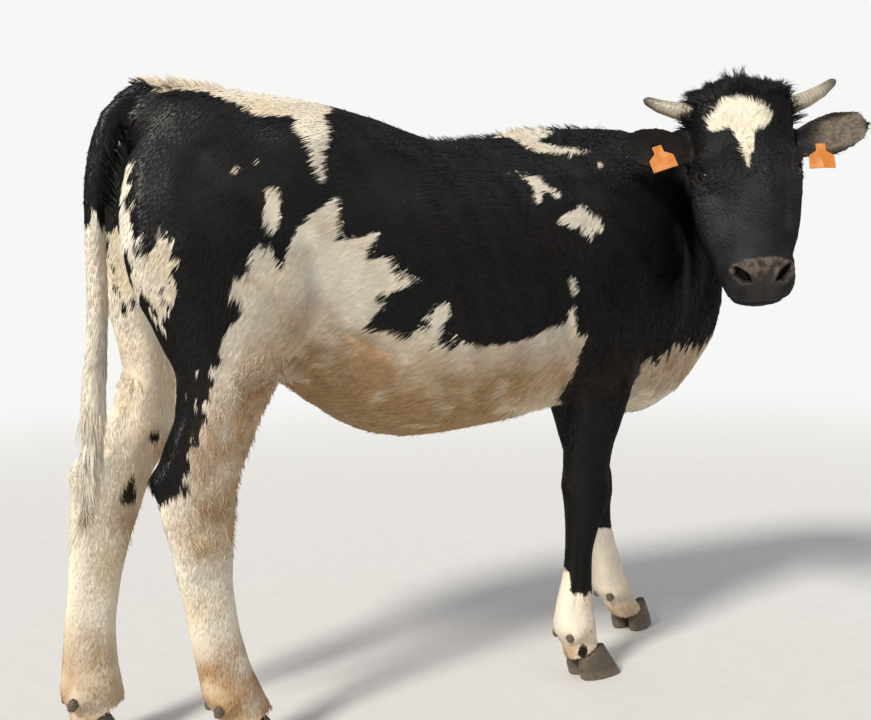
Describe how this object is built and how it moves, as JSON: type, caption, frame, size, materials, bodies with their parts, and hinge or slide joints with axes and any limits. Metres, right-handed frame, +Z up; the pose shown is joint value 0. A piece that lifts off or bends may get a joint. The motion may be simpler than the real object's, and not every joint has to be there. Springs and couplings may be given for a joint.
{
  "type": "cow",
  "caption": "Young horned dairy cow, black and white, standing still with its head turned to its right, with a plain tag in each ear.",
  "frame": {"origin": "on the floor, under the middle of the whole animal's box", "axes": "+X the way the body faces, +Y the animal's left, +Z up"},
  "size_m": [1.537, 0.6302, 1.2442],
  "materials": {
    "coat_black": "short glossy black hair",
    "coat_white": "short cream-white hair, stained below",
    "hoof_horn": "dark worn hoof horn",
    "horn": "ringed grey-buff horn, darker at the tip",
    "eye": "wet dark brown eye",
    "ear_tag": "plain orange plastic"
  },
  "bodies": {
    "root": {"head": "coat_black", "neck": "coat_black", "trunk": "coat_black", "ear_left": "coat_black", "ear_right": "coat_black", "tail_dock": "coat_black", "tail_middle": "coat_white", "tail_switch": "coat_white", "leg_fore_left": "coat_white", "leg_fore_right": "coat_white", "leg_hind_left": "coat_white", "leg_hind_right": "coat_white", "claw_fore_left_outer": "hoof_horn", "claw_fore_left_inner": "hoof_horn", "claw_fore_right_outer": "hoof_horn", "claw_fore_right_inner": "hoof_horn", "claw_hind_left_outer": "hoof_horn", "claw_hind_left_inner": "hoof_horn", "claw_hind_right_outer": "hoof_horn", "claw_hind_right_inner": "hoof_horn", "dewclaw_fore_left_outer": "hoof_horn", "dewclaw_fore_left_inner": "hoof_horn", "dewclaw_fore_right_outer": "hoof_horn", "dewclaw_fore_right_inner": "hoof_horn", "dewclaw_hind_left_outer": "hoof_horn", "dewclaw_hind_left_inner": "hoof_horn", "dewclaw_hind_right_outer": "hoof_horn", "dewclaw_hind_right_inner": "hoof_horn", "horn_left": "horn", "horn_right": "horn", "eye_left": "eye", "eye_right": "eye", "ear_tag_left": "ear_tag", "ear_tag_right": "ear_tag"}
  },
  "joints": []
}
